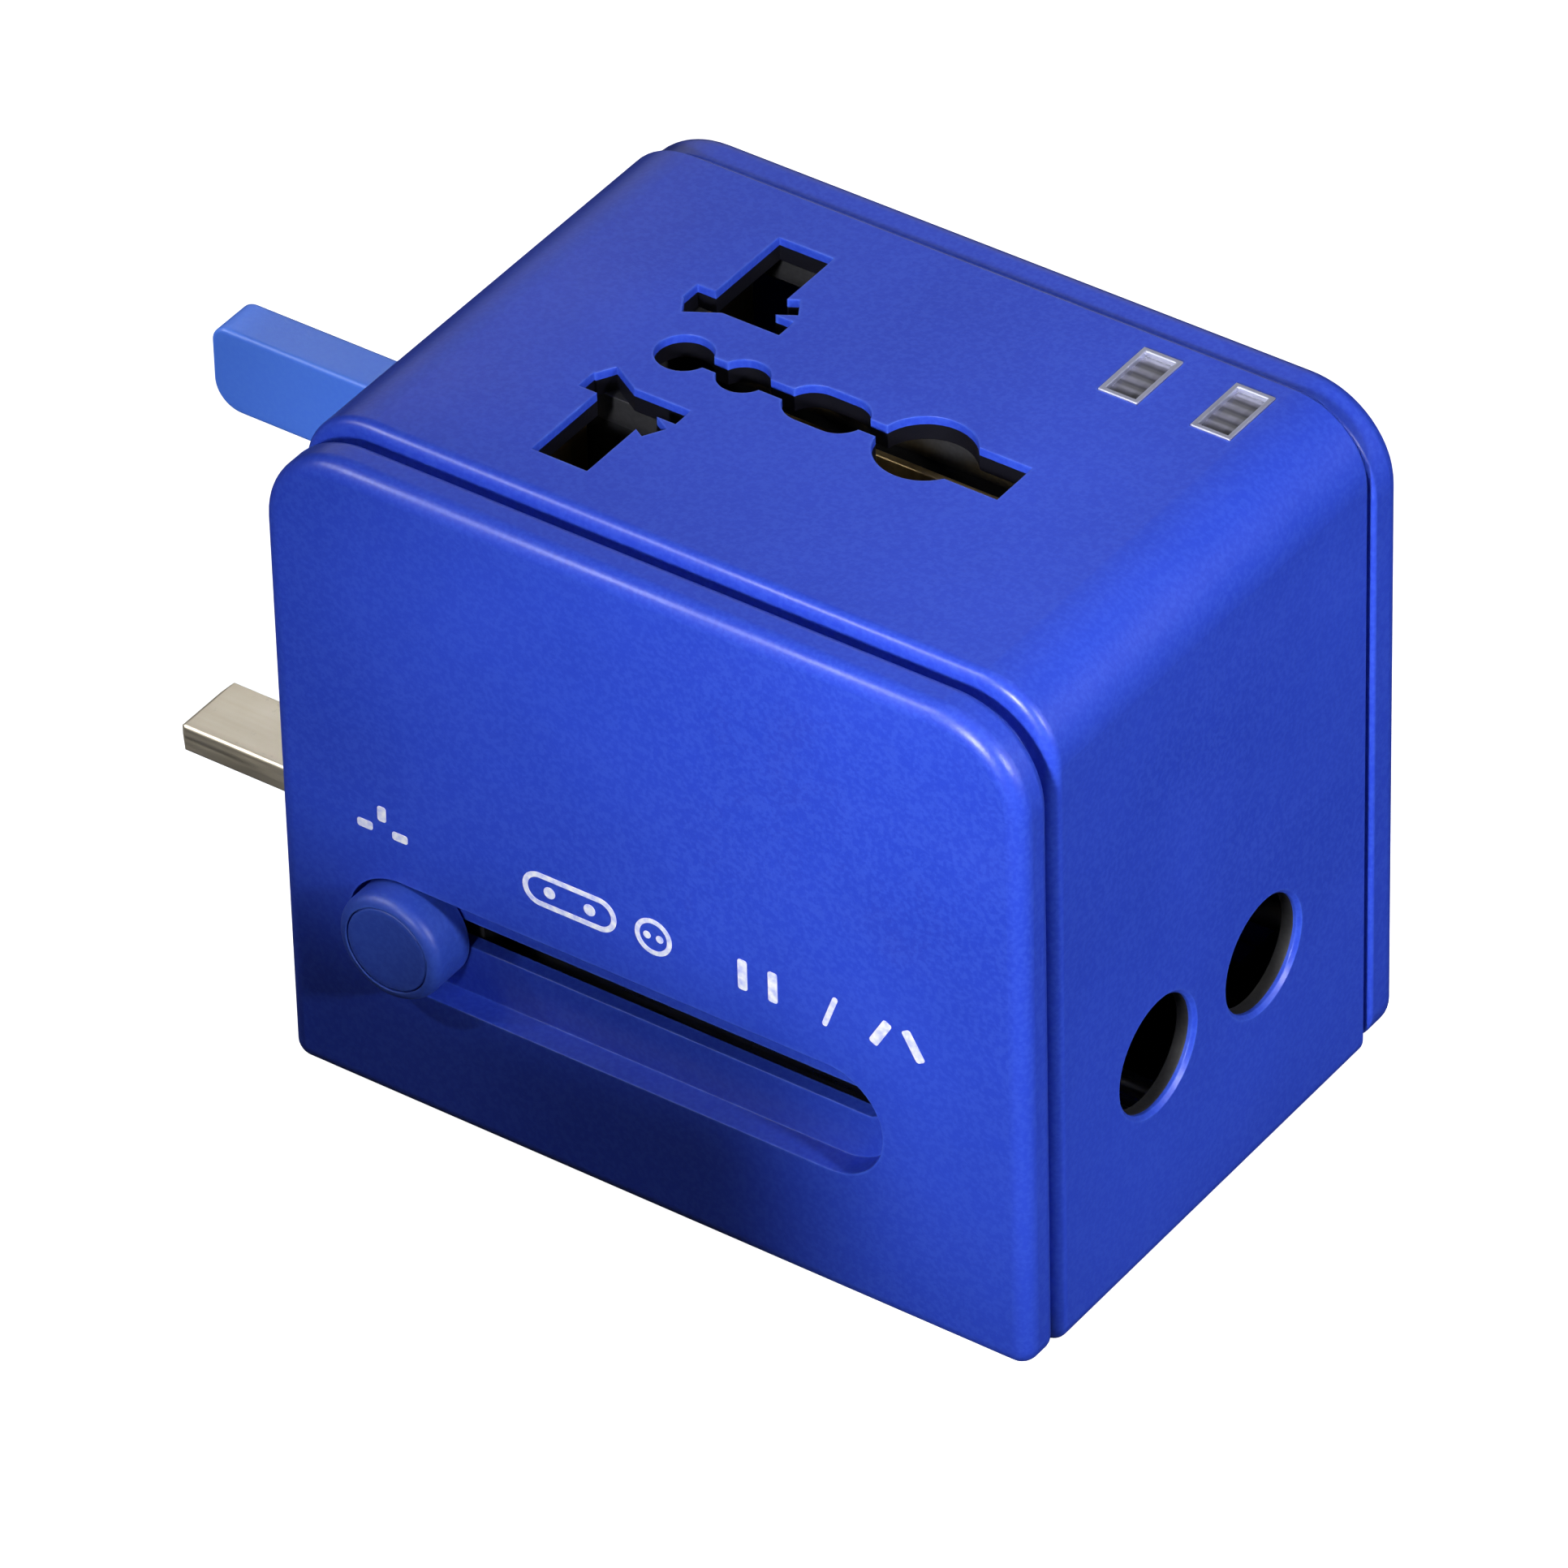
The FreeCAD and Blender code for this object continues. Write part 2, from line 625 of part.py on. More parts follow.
def make_hole_liners():
    liners = []
    for place_yz in hole_places:
        sleeve = rod("x", cavity_right, housing_side - s.hole_lip, s.hole_radius + s.liner, place_yz)
        bore = rod("x", cavity_right - 1, housing_side, s.hole_radius, place_yz)
        liners.append(cut(sleeve, bore))
    node(group(*liners), "hole_liners")


def make_case_screws():
    head_front = half_depth - s.screw_sunk
    slot_floor = half_depth - 0.6
    long_half, short_half = 1.4, 0.3
    screws = []
    for x, z in post_places:
        head = rod("y", head_front, half_depth - 0.15, s.screw_head, (x, z))
        shank = rod("y", lip_y - s.screw_reach, head_front, s.screw_radius - 0.02, (x, z))
        slots = [
            box((x - across, x + across), (slot_floor, half_depth), (z - up, z + up))
            for across, up in ((long_half, short_half), (short_half, long_half))
        ]
        screws.append(cut(fuse(head, shank), *slots))
    node(group(*screws), "case_screws")


# ---------------------------------------------------------------- indicator windows

window_places = (s.window_x, s.window_x + s.window_step)


def window_limits(x, inset):
    """The limits of the window at x along X and Y, brought in by an inset."""
    half_x = s.window_wide / 2 - inset
    half_y = s.window_long / 2 - inset
    return (x - half_x, x + half_x), (s.window_y - half_y, s.window_y + half_y)


def make_indicators():
    gap = 0.05
    lamp_base, lamp_flange, lamp_top = s.board_top, s.board_top + 0.7, s.board_top + 2.8
    frames, lenses, lamps = [], [], []
    for x in window_places:
        outside = window_limits(x, gap)
        inside = window_limits(x, gap + s.frame_wall)
        frame = box(*outside, (cavity_top, s.height + 0.1))
        hollow = box(*inside, (cavity_top - 1, s.height + 1))
        frames.append(cut(frame, hollow))
        lenses.append(box(*inside, (cavity_top, s.height - 0.35)))
        dome = rod("z", lamp_base, lamp_top, 1.2, (x, s.window_y))
        flange = rod("z", lamp_base, lamp_flange, 1.5, (x, s.window_y))
        lamps.append(fuse(dome, flange))
    node(group(*frames), "indicator_frames")
    node(lenses[0], "power_window")
    node(lenses[1], "surge_window")
    node(group(*lamps), "indicator_lamps")


# ---------------------------------------------------------------- selector and pin carriage

def make_pin_carriage():
    body = new_body("pin_carriage")
    low = s.rod_z - s.rod_radius - 0.9
    half_sheet, half_stem = 18.4, 2
    earth_top = earth_z + s.earth_tall / 2
    sheet_outline = polygon_at([
        (-half_sheet, low), (half_sheet, low),
        (half_sheet, s.shoulder_z), (half_stem, s.shoulder_z),
        (half_stem, earth_top), (-half_stem, earth_top),
        (-half_stem, s.shoulder_z), (-half_sheet, s.shoulder_z),
    ])
    extrude(body, "Pad", "x", plate_left, plate_right, sheet_outline)
    sleeve_end = plate_right + 6
    sleeves = [circle_at(place_yz, s.rod_radius + 0.9) for place_yz in rod_places]
    extrude(body, "Pad", "x", plate_right - 1, sleeve_end, *sleeves)
    arm = rectangle_at((arm_front, arm_front + 2.5), (low + 1, s.shoulder_z - 1))
    extrude(body, "Pad", "x", plate_left + 1.6, s.track_left + 4.5, arm)
    bores = [circle_at(place_yz, s.rod_radius + s.running) for place_yz in rod_places]
    extrude(body, "Pocket", "x", plate_left, sleeve_end, *bores)
    journals = [circle_at(place_yz, s.journal + s.running) for place_yz in blade_places]
    extrude(body, "Pocket", "x", plate_left, plate_right, *journals)
    sinks = [circle_at(place_yz, s.journal_head + 0.2) for place_yz in blade_places]
    extrude(body, "Pocket", "x", plate_left, plate_left + 0.9, *sinks)
    rivets = [circle_at((y, s.live_z), s.rivet) for y in (-pin_y, pin_y)]
    rivets.append(circle_at((0, earth_z), s.rivet))
    extrude(body, "Pocket", "x", plate_left, plate_right, *rivets)


def taper_tip(body, tip):
    dress(body, "Chamfer", s.pin_nose, lies_at("X", tip))


def round_earth_tip(body, tip):
    """Rounds the tip's lower and upper corners, seen from the side."""
    half_tall = s.earth_tall / 2
    for radius, z in ((s.earth_low_corner, earth_z - half_tall), (s.earth_high_corner, earth_z + half_tall)):
        at_tip, at_height = lies_at("X", tip), lies_at("Z", z)
        dress(body, "Fillet", radius, lambda edge: at_tip(edge) and at_height(edge))


def make_pin(name, y, z, wide, tall, length, shape_tip):
    """A plug pin with a shaped tip and a rivet through the carriage."""
    body = new_body(name)
    y, z = as_size(y), as_size(z)
    tip = -(housing_side + length)
    outline = rectangle_at((y - wide / 2, y + wide / 2), (z - tall / 2, z + tall / 2))
    extrude(body, "Pad", "x", tip, plate_left, outline)
    shape_tip(body, tip)
    extrude(body, "Pad", "x", plate_left - 1, plate_right, circle_at((y, z), s.rivet))
    dress(body, "Fillet", s.rim, lambda edge: edge.BoundBox.XLength > 8)


def make_plug_pins():
    for name, y in (("live_pin", -pin_y), ("neutral_pin", pin_y)):
        make_pin(name, y, s.live_z, s.pin_long, s.pin_short, s.pin_length, taper_tip)
    make_pin("earth_pin", 0, earth_z, s.earth_thick, s.earth_tall, s.earth_length, round_earth_tip)


def ring(axis, at, radius, wire, centre):
    coil = doc.addObject("Part::Torus", unique("ring"))
    coil.setExpression("Radius1", as_size(radius).text)
    coil.setExpression("Radius2", as_size(wire).text)
    coil.Placement = FreeCAD.Placement(FreeCAD.Vector(), TURN[axis])
    point = list(centre)
    point.insert("xyz".index(axis), at)
    place(coil, *point)
    return coil


def make_selector():
    middle = (s.track_left, s.track_z)
    tongue_x = (s.track_left - s.tongue_length / 2, s.track_left + s.tongue_length / 2)
    tongue_z = (s.slit_z - s.tongue_height / 2, s.slit_z + s.tongue_height / 2)
    tongue_front = knob_back - 0.8
    node(box(tongue_x, (tongue_front, arm_front), tongue_z), "selector_tongue")
    collar = rod("y", knob_front, knob_back, s.knob_radius, middle)
    collar = rounded(collar, as_size(0.9), lies_at("Y", knob_front))
    well_floor = knob_front + 2.2
    well = rod("y", knob_front - 1, well_floor, s.knob_bore, middle)
    socket = box(tongue_x, (tongue_front, knob_back + 1), tongue_z)
    node(cut(collar, well, socket), "selector_knob")
    button_front = knob_front + 0.05
    button_back = button_front + 1
    button = rod("y", button_front, button_back, s.button_radius, middle)
    button = rounded(button, as_size(0.15), lies_at("Y", button_front))
    dish_radius, dish_depth = 24, 0.2
    dish = doc.addObject("Part::Sphere", unique("dish"))
    dish.Radius = dish_radius
    place(dish, s.track_left, button_front + dish_depth - dish_radius, s.track_z)
    node(cut(button, dish), "unlock_button")
    wire, pitch = 0.15, 0.34
    coils = [ring("y", button_back + wire + 0.01 + turn * pitch, 1.8, wire, middle) for turn in range(3)]
    node(group(*coils), "button_spring")


def make_detent():
    rail_z = (23.6, 26.2)
    notch_z = 24.9
    rail_back = inner_face + 0.8
    leaf_back = arm_front + 0.4
    rail = box((-27.0, 21.0), (inner_face, rail_back), rail_z)
    stops = [0, s.select_travel / 2, s.select_travel]
    notches = [
        rod("y", inner_face - 1, rail_back + 1, 1.0, (s.track_left + stop, notch_z)) for stop in stops
    ]
    node(cut(rail, *notches), "detent_rail")
    leaf_z = (s.shoulder_z - 1, rail_z[1])
    leaf = box((s.track_left - 2, s.track_left + 2), (arm_front, leaf_back), leaf_z)
    bump = rod("y", rail_back + 0.1, arm_front + 0.2, 0.8, (s.track_left, notch_z))
    node(fuse(leaf, bump), "detent_spring")


def make_guides():
    rod_right = cavity_right + 0.5
    for name, place_yz in zip(("guide_rod_near", "guide_rod_far"), rod_places):
        node(rod("x", cavity_left - s.rod_sunk, rod_right, s.rod_radius, place_yz), name)
    node(rod("x", s.rib_left, rod_right, s.rod_radius, yoke_rod_place), "yoke_rod")


def make_blades():
    def tip_corner(edge):
        limits = edge.BoundBox
        return abs(limits.XMin - blade_tip.number) < 0.01 and limits.ZLength < 0.01

    for name, place_yz in zip(("blade_near", "blade_far"), blade_places):
        y, z = place_yz
        flat = box(
            (plate_right + 0.1, blade_tip),
            (y - s.blade_thick / 2, y + s.blade_thick / 2),
            (z - s.blade_tall / 2, z + s.blade_tall / 2),
        )
        flat = rounded(flat, as_size(1.2), tip_corner)
        journal = rod("x", plate_left + 0.5, plate_right + 0.5, s.journal, place_yz)
        head = rod("x", plate_left + 0.1, plate_left + 0.8, s.journal_head, place_yz)
        node(fuse(flat, journal, head), name)


# ---------------------------------------------------------------- round pins

def make_yoke():
    half_span = 13.2
    base = box((0, yoke_right), (-half_span, half_span), (3.0, 10.8))
    arms, hollows, seats = [], [], []
    for side in (-1, 1):
        arm_y = sorted_sides(side, s.arm_inner, half_span)
        arms.append(box((s.yoke_left, yoke_right), arm_y, (9.0, s.round_z + 1.6)))
        hollows.append(box((1.6, s.yoke_left), sorted_sides(side, 3.6, 11.6), (2.0, 9.2)))
        seats.append(rod("x", s.yoke_left - 1, yoke_right + 1, s.rivet, (side * s.foot_y, s.round_z)))
    bore = rod("x", -1, yoke_right + 1, s.rod_radius + s.running, yoke_rod_place)
    node(cut(fuse(base, *arms), bore, *hollows, *seats), "round_pin_yoke")


def make_round_pins():
    sleeve_radius = s.round_radius - 0.1
    core_radius = 1.2
    foot_end = yoke_right + 0.5
    sleeve_end = s.round_tip - 9
    for name, side in (("near", -1), ("far", 1)):
        centre = (side * s.round_y, s.round_z)
        sleeve = rod("x", foot_end, sleeve_end, sleeve_radius, centre)
        bore = rod("x", yoke_right, sleeve_end, core_radius, centre)
        node(cut(sleeve, bore), f"round_pin_sleeve_{name}")
        nose = rod("x", sleeve_end, s.round_tip, s.round_radius, centre)
        nose = rounded(nose, as_size(1.2), lies_at("X", s.round_tip))
        core = rod("x", yoke_right, sleeve_end + 1, core_radius, centre)
        foot = rod("x", yoke_right, foot_end, sleeve_radius, centre)
        rivet = rod("x", s.yoke_left, yoke_right + 0.4, s.rivet, (side * s.foot_y, s.round_z))
        node(fuse(nose, core, foot, rivet), f"round_pin_{name}")


# ---------------------------------------------------------------- electrical parts

def make_socket_block():
    plate_z = (cavity_top - 2.3, cavity_top)
    through_z = (cavity_top - 3, s.height)
    block_right = 18.0
    plate = box((-22.4, block_right), (-17.0, 17.0), plate_z)
    channel = box((s.slot_x - 2.9, s.earth_x + 8.1), (-3.9, 3.9), through_z)
    light_gap = box((s.window_x - s.window_wide / 2 - 0.6, block_right + 1), (11.6, 18.0), through_z)
    ribs, windows = [], []
    for side in (-1, 1):
        ribs.append(box((-21.0, block_right), sorted_sides(side, 4.0, 4.8), (33.0, plate_z[0])))
        window_y = sorted_sides(side, 4.9, 15.8)
        windows.append(box((s.slot_x - 5.1, s.slot_x + 5.1), window_y, through_z))
    node(cut(fuse(plate, *ribs), *windows, channel, light_gap), "socket_block")


def make_contacts():
    top = cavity_top - 2.5
    base = 30.0
    strip = s.strip
    for name, side in (("live", -1), ("neutral", 1)):
        trough_x = (s.slot_x - 5.7, s.slot_x + 5.7)
        outer = box(trough_x, sorted_sides(side, 5.2, 15.4), (base, top))
        inner_x = (trough_x[0] + strip, trough_x[1] - strip)
        inner = box(inner_x, sorted_sides(side, 4.2, 16.4), (base + strip, top + 1))
        tab = box((trough_x[0], trough_x[0] + 3), sorted_sides(side, 15.0, 18.0), (base, base + strip))
        node(fuse(cut(outer, inner), tab), f"{name}_contact")
        node(box((-26.0, 22.0), sorted_sides(side, 17.4, 18.0), (26.5, base)), f"{name}_busbar")
        wiper_x = (plate_right, plate_right + strip)
        flat = box(wiper_x, sorted_sides(side, 9.0, 17.2), (s.wiper_z, s.wiper_z + 3.7))
        upright = box(wiper_x, sorted_sides(side, 15.4, 17.2), (s.wiper_z, 28.8))
        node(fuse(flat, upright), f"{name}_wiper")
    leaf_right = s.earth_x + 8.1
    leaf_z = (34.0, top)
    leaves = [
        box((s.slot_x - 3.0, leaf_right), sorted_sides(side, 2.4, 2.4 + strip), leaf_z) for side in (-1, 1)
    ]
    bridge = box((leaf_right, leaf_right + strip), (-2.4 - strip, 2.4 + strip), leaf_z)
    node(fuse(*leaves, bridge), "earth_contact")


def make_fuse():
    y, z = 10.0, 38.0
    centre = (y, z)
    cap_radius = 2.6
    shelf = 34.4
    tube_left, tube_right, cap_length = 7.5, 18.5, 4.5
    node(box((-2.0, 27.0), (4.8, 14.0), (shelf - 2.4, shelf)), "fuse_holder")
    node(rod("x", tube_left, tube_right, 2.35, centre), "fuse_tube")
    caps = [
        rod("x", start, start + cap_length, cap_radius, centre)
        for start in (tube_left - cap_length, tube_right)
    ]
    node(group(*caps), "fuse_caps")
    clips = []
    for start in (3.6, 18.9):
        limits = (start, start + 3.4)
        beyond = (start - 1, start + 4.4)
        outer = box(limits, (y - 3.3, y + 3.3), (shelf, z + 0.9))
        inner = box(beyond, (y - 2.8, y + 2.8), (shelf + 0.6, z + 2))
        pads = box(limits, (y - 2.8, y + 2.8), (z - 1.4, z + 0.9))
        bore = rod("x", *beyond, cap_radius + 0.01, centre)
        clips.append(cut(fuse(cut(outer, inner), pads), bore))
    node(group(*clips), "fuse_clips")


def make_circuit_board():
    board_base = s.board_top - 1.6
    node(box((6.0, 28.0), (4.8, seam_y), (board_base, s.board_top)), "circuit_board")
    disc_x, disc_y = 13.0, 15.2
    disc = rod("y", disc_y - 1.6, disc_y + 1.6, 3.6, (disc_x, board_base - 3.8))
    legs = [rod("z", board_base - 2, board_base, 0.4, (disc_x + shift, disc_y)) for shift in (-1.5, 1.5)]
    node(fuse(disc, *legs), "surge_absorber")
    resistors = []
    lead, lead_z = 0.3, s.board_top + 1.3
    for y in (7.4, 11.0):
        barrel = rod("x", 12.0, 18.0, 1.0, (y, lead_z))
        leads = rod("x", 10.2, 19.8, lead, (y, lead_z))
        feet = [rod("z", s.board_top, lead_z, lead, (x, y)) for x in (10.4, 19.6)]
        resistors.append(fuse(barrel, leads, *feet))
    node(group(*resistors), "resistors")


def check_and_write():
    doc.recompute()
    for feature in doc.Objects:
        if "Invalid" in feature.State or "Error" in feature.State:
            raise RuntimeError(f"{feature.Name} ({feature.Label}) failed: {feature.State}")
    for feature in NODES:
        if feature.Shape.isNull() or not feature.Shape.isValid():
            raise RuntimeError(f"{feature.Label} has no valid shape")
    os.makedirs("parts", exist_ok=True)
    for feature in NODES:
        feature.Shape.exportStep(f"parts/{feature.Label}.step")
        print(f"{feature.Label}: {len(feature.Shape.Solids)} solids, {feature.Shape.Volume:.1f} mm3")


make_front_cover()
make_middle_housing()
make_back_cover()
make_hole_liners()
make_case_screws()
make_indicators()
make_pin_carriage()
make_plug_pins()
make_selector()
make_detent()
make_guides()
make_blades()
make_yoke()
make_round_pins()
make_socket_block()
make_contacts()
make_fuse()
make_circuit_board()
check_and_write()
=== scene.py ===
"""Looks of the universal travel adapter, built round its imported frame. Lengths are in metres."""
import json
import math

import bmesh
import bpy
from mathutils import Matrix, Vector


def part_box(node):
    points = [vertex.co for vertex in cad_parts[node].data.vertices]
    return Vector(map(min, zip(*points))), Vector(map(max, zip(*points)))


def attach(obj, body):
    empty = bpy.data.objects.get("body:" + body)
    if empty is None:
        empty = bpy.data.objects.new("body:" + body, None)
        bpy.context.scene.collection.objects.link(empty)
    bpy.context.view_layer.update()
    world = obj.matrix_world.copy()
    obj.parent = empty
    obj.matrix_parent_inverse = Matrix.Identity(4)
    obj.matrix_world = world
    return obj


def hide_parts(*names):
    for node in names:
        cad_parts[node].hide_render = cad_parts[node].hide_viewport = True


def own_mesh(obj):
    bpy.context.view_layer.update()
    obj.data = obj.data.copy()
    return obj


MM = 0.001

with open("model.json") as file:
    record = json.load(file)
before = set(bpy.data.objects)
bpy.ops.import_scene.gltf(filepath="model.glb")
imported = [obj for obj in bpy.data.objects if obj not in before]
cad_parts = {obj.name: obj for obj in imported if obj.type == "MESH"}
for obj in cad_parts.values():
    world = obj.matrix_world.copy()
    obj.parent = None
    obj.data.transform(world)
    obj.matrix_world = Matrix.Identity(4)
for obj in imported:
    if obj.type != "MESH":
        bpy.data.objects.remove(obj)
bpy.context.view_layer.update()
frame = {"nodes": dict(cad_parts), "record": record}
scene = bpy.context.scene
nodes = frame["nodes"]


# ---------------------------------------------------------------- node helpers

class Shader:
    """A node material under construction, with short calls for the nodes used here."""

    def __init__(self, name):
        self.material = bpy.data.materials.new(name)
        self.material.use_nodes = True
        self.tree = self.material.node_tree
        self.bsdf = self.tree.nodes["Principled BSDF"]
        self.place = self.add("ShaderNodeTexCoord").outputs["Object"]

    def add(self, kind, **settings):
        item = self.tree.nodes.new(kind)
        for key, value in settings.items():
            setattr(item, key, value)
        return item

    def link(self, source, target):
        self.tree.links.new(source, target)

    def noise(self, scale, detail=3.0, stretch=None, roughness=0.5):
        """Noise over object space; scale is in features per metre."""
        item = self.add("ShaderNodeTexNoise")
        item.inputs["Scale"].default_value = scale
        item.inputs["Detail"].default_value = detail
        item.inputs["Roughness"].default_value = roughness
        source = self.place
        if stretch:
            mapping = self.add("ShaderNodeMapping")
            mapping.inputs["Scale"].default_value = stretch
            self.link(self.place, mapping.inputs["Vector"])
            source = mapping.outputs["Vector"]
        self.link(source, item.inputs["Vector"])
        return item.outputs["Fac"]

    def ramp(self, source, low, high, start=0.0, end=1.0):
        """Maps a value from low..high to start..end, held at the ends."""
        item = self.add("ShaderNodeMapRange")
        item.inputs["From Min"].default_value = low
        item.inputs["From Max"].default_value = high
        item.inputs["To Min"].default_value = start
        item.inputs["To Max"].default_value = end
        self.link(source, item.inputs["Value"])
        return item.outputs["Result"]

    def mix(self, factor, first, second):
        """A blend of two colours, each a tuple or another node's output."""
        item = self.add("ShaderNodeMix", data_type="RGBA")
        self.link(factor, item.inputs["Factor"])
        for socket, value in (("A", first), ("B", second)):
            target = [i for i in item.inputs if i.name == socket and i.type == "RGBA"][0]
            if isinstance(value, tuple):
                target.default_value = (*value, 1.0)
            else:
                self.link(value, target)
        return [o for o in item.outputs if o.type == "RGBA"][0]

    def maths(self, operation, first, second):
        item = self.add("ShaderNodeMath", operation=operation)
        for index, value in enumerate((first, second)):
            if isinstance(value, (int, float)):
                item.inputs[index].default_value = value
            else:
                self.link(value, item.inputs[index])
        return item.outputs[0]

    def edges(self, radius):
        """Near 1 on outer and inner edges within a radius, 0 on flats."""
        bevel = self.add("ShaderNodeBevel", samples=4)
        bevel.inputs["Radius"].default_value = radius
        geometry = self.add("ShaderNodeNewGeometry")
        dot = self.add("ShaderNodeVectorMath", operation="DOT_PRODUCT")
        self.link(bevel.outputs["Normal"], dot.inputs[0])
        self.link(geometry.outputs["Normal"], dot.inputs[1])
        return self.ramp(dot.outputs["Value"], 0.995, 0.85)

    def inside(self, low, high):
        """1 within a box in object space, 0 outside it."""
        parts = self.add("ShaderNodeSeparateXYZ")
        self.link(self.place, parts.inputs[0])
        product = 1.0
        for index in range(3):
            within = self.add("ShaderNodeMath", operation="COMPARE")
            within.inputs[1].default_value = (low[index] + high[index]) / 2
            within.inputs[2].default_value = (high[index] - low[index]) / 2
            self.link(parts.outputs[index], within.inputs[0])
            product = self.maths("MULTIPLY", within.outputs[0], product)
        return product

    def bump(self, height, distance, soft_edge=None):
        """Relief of the given depth; soft_edge is a radius that rounds the shading of sharp edges."""
        item = self.add("ShaderNodeBump")
        item.inputs["Distance"].default_value = distance
        self.link(height, item.inputs["Height"])
        if soft_edge:
            bevel = self.add("ShaderNodeBevel", samples=6)
            bevel.inputs["Radius"].default_value = soft_edge
            self.link(bevel.outputs["Normal"], item.inputs["Normal"])
        self.link(item.outputs["Normal"], self.bsdf.inputs["Normal"])

    def set(self, **values):
        """Sets the main shader's sockets; an underscore in a name stands for a space."""
        for key, value in values.items():
            socket = self.bsdf.inputs[key.replace("_", " ")]
            if isinstance(value, (int, float)):
                socket.default_value = value
            elif isinstance(value, tuple):
                socket.default_value = (*value, 1.0)
            else:
                self.link(value, socket)


def moulded_plastic(name, colour, shade, pale_wear_and_highlight_colour, gloss, soft_edge=0.00012, painted_shade_boxes=()):
    """Injection moulded plastic: cloudy pigment, fine spark-eroded grain, edges painted paler, partly as
    polished wear and partly as a painted edge highlight.

    Surfaces within one of the given boxes are painted near black, as painted shade for unlit insides.
    """
    shader = Shader(name)
    cloud = shader.ramp(shader.noise(38.0, 4.0), 0.32, 0.68)
    pigment = shader.mix(cloud, shade, colour)
    fleck = shader.ramp(shader.noise(2600.0, 2.0), 0.42, 0.62, 0.0, 0.10)
    pigment = shader.mix(fleck, pigment, pale_wear_and_highlight_colour)
    rub = shader.ramp(shader.noise(420.0, 5.0), 0.35, 0.7, 0.15, 0.55)
    # Paler edges: partly rubbed wear, partly a painted highlight along every edge.
    wear_and_highlight = shader.maths("MULTIPLY", shader.edges(0.0004), rub)
    pigment = shader.mix(wear_and_highlight, pigment, pale_wear_and_highlight_colour)
    # Painted shade: surfaces inside the given boxes are painted near black, standing in for the shade of
    # unlit insides.
    for low, high in painted_shade_boxes:
        pigment = shader.mix(shader.inside(low, high), pigment, (0.004, 0.004, 0.008))
    streaks = shader.noise(70.0, 6.0, stretch=(1.0, 1.0, 2.6))
    smear = shader.ramp(streaks, 0.35, 0.7, gloss - 0.04, gloss + 0.06)
    shader.set(Base_Color=pigment, Roughness=smear, Specular_IOR_Level=0.5, IOR=1.48)
    shader.bump(shader.noise(3400.0, 2.0), 0.000012, soft_edge=soft_edge)
    return shader.material


def worn_metal(name, colour, shade, dark, gloss, direction):
    """Bright metal with a drawn grain along one direction, dull patches and rubbed edges."""
    shader = Shader(name)
    lines = shader.noise(2200.0, 4.0, stretch=direction)
    patch = shader.ramp(shader.noise(160.0, 5.0), 0.35, 0.7)
    tone = shader.mix(patch, shade, colour)
    tone = shader.mix(shader.ramp(lines, 0.3, 0.75, 0.0, 0.5), tone, shade)
    stain = shader.ramp(shader.noise(520.0, 6.0, roughness=0.7), 0.60, 0.78, 0.0, 0.7)
    tone = shader.mix(stain, tone, dark)
    tone = shader.mix(shader.maths("MULTIPLY", shader.edges(0.0003), 0.6), tone, colour)
    shader.set(Base_Color=tone, Metallic=1.0, Roughness=shader.ramp(lines, 0.3, 0.7, gloss, gloss + 0.16))
    shader.bump(lines, 0.00001, soft_edge=0.0002)
    return shader.material


def clear_lens(name, colour, deep):
    """A small tinted window: depth from a fine ribbed diffuser behind it."""
    shader = Shader(name)
    ribs = shader.add("ShaderNodeTexWave", wave_type="BANDS", bands_direction="Y")
    ribs.inputs["Scale"].default_value = 260.0
    ribs.inputs["Distortion"].default_value = 0.6
    shader.link(shader.place, ribs.inputs["Vector"])
    haze = shader.noise(900.0, 3.0)
    tone = shader.mix(shader.ramp(ribs.outputs["Fac"], 0.2, 0.8), deep, colour)
    tone = shader.mix(shader.ramp(haze, 0.4, 0.7, 0.0, 0.4), tone, deep)
    shader.set(Base_Color=tone, Roughness=0.12, Specular_IOR_Level=0.6)
    shader.set(Coat_Weight=0.6, Coat_Roughness=0.05)
    shader.bump(ribs.outputs["Fac"], 0.00002)
    return shader.material


def printed_ink(name, colour, thin):
    """Pad-printed ink: opaque, a little thin and speckled at its edges."""
    shader = Shader(name)
    cover = shader.ramp(shader.noise(1500.0, 5.0), 0.30, 0.62)
    tone = shader.mix(cover, thin, colour)
    shader.set(Base_Color=tone, Roughness=shader.ramp(cover, 0.0, 1.0, 0.55, 0.38))
    shader.bump(cover, 0.00001)
    return shader.material


def laminate(name, colour, shade, copper):
    """Circuit board: woven glass under lacquer, with lines of copper showing through."""
    shader = Shader(name)
    weave = shader.add("ShaderNodeTexChecker")
    weave.inputs["Scale"].default_value = 1400.0
    shader.link(shader.place, weave.inputs["Vector"])
    tone = shader.mix(shader.ramp(weave.outputs["Fac"], 0.0, 1.0, 0.0, 0.35), colour, shade)
    track = shader.add("ShaderNodeTexBrick")
    track.inputs["Scale"].default_value = 190.0
    track.inputs["Mortar Size"].default_value = 0.05
    shader.link(shader.place, track.inputs["Vector"])
    tone = shader.mix(shader.maths("MULTIPLY", track.outputs["Fac"], 0.7), tone, copper)
    shader.set(Base_Color=tone, Roughness=0.32, Coat_Weight=0.5)
    shader.bump(track.outputs["Fac"], 0.00003)
    return shader.material
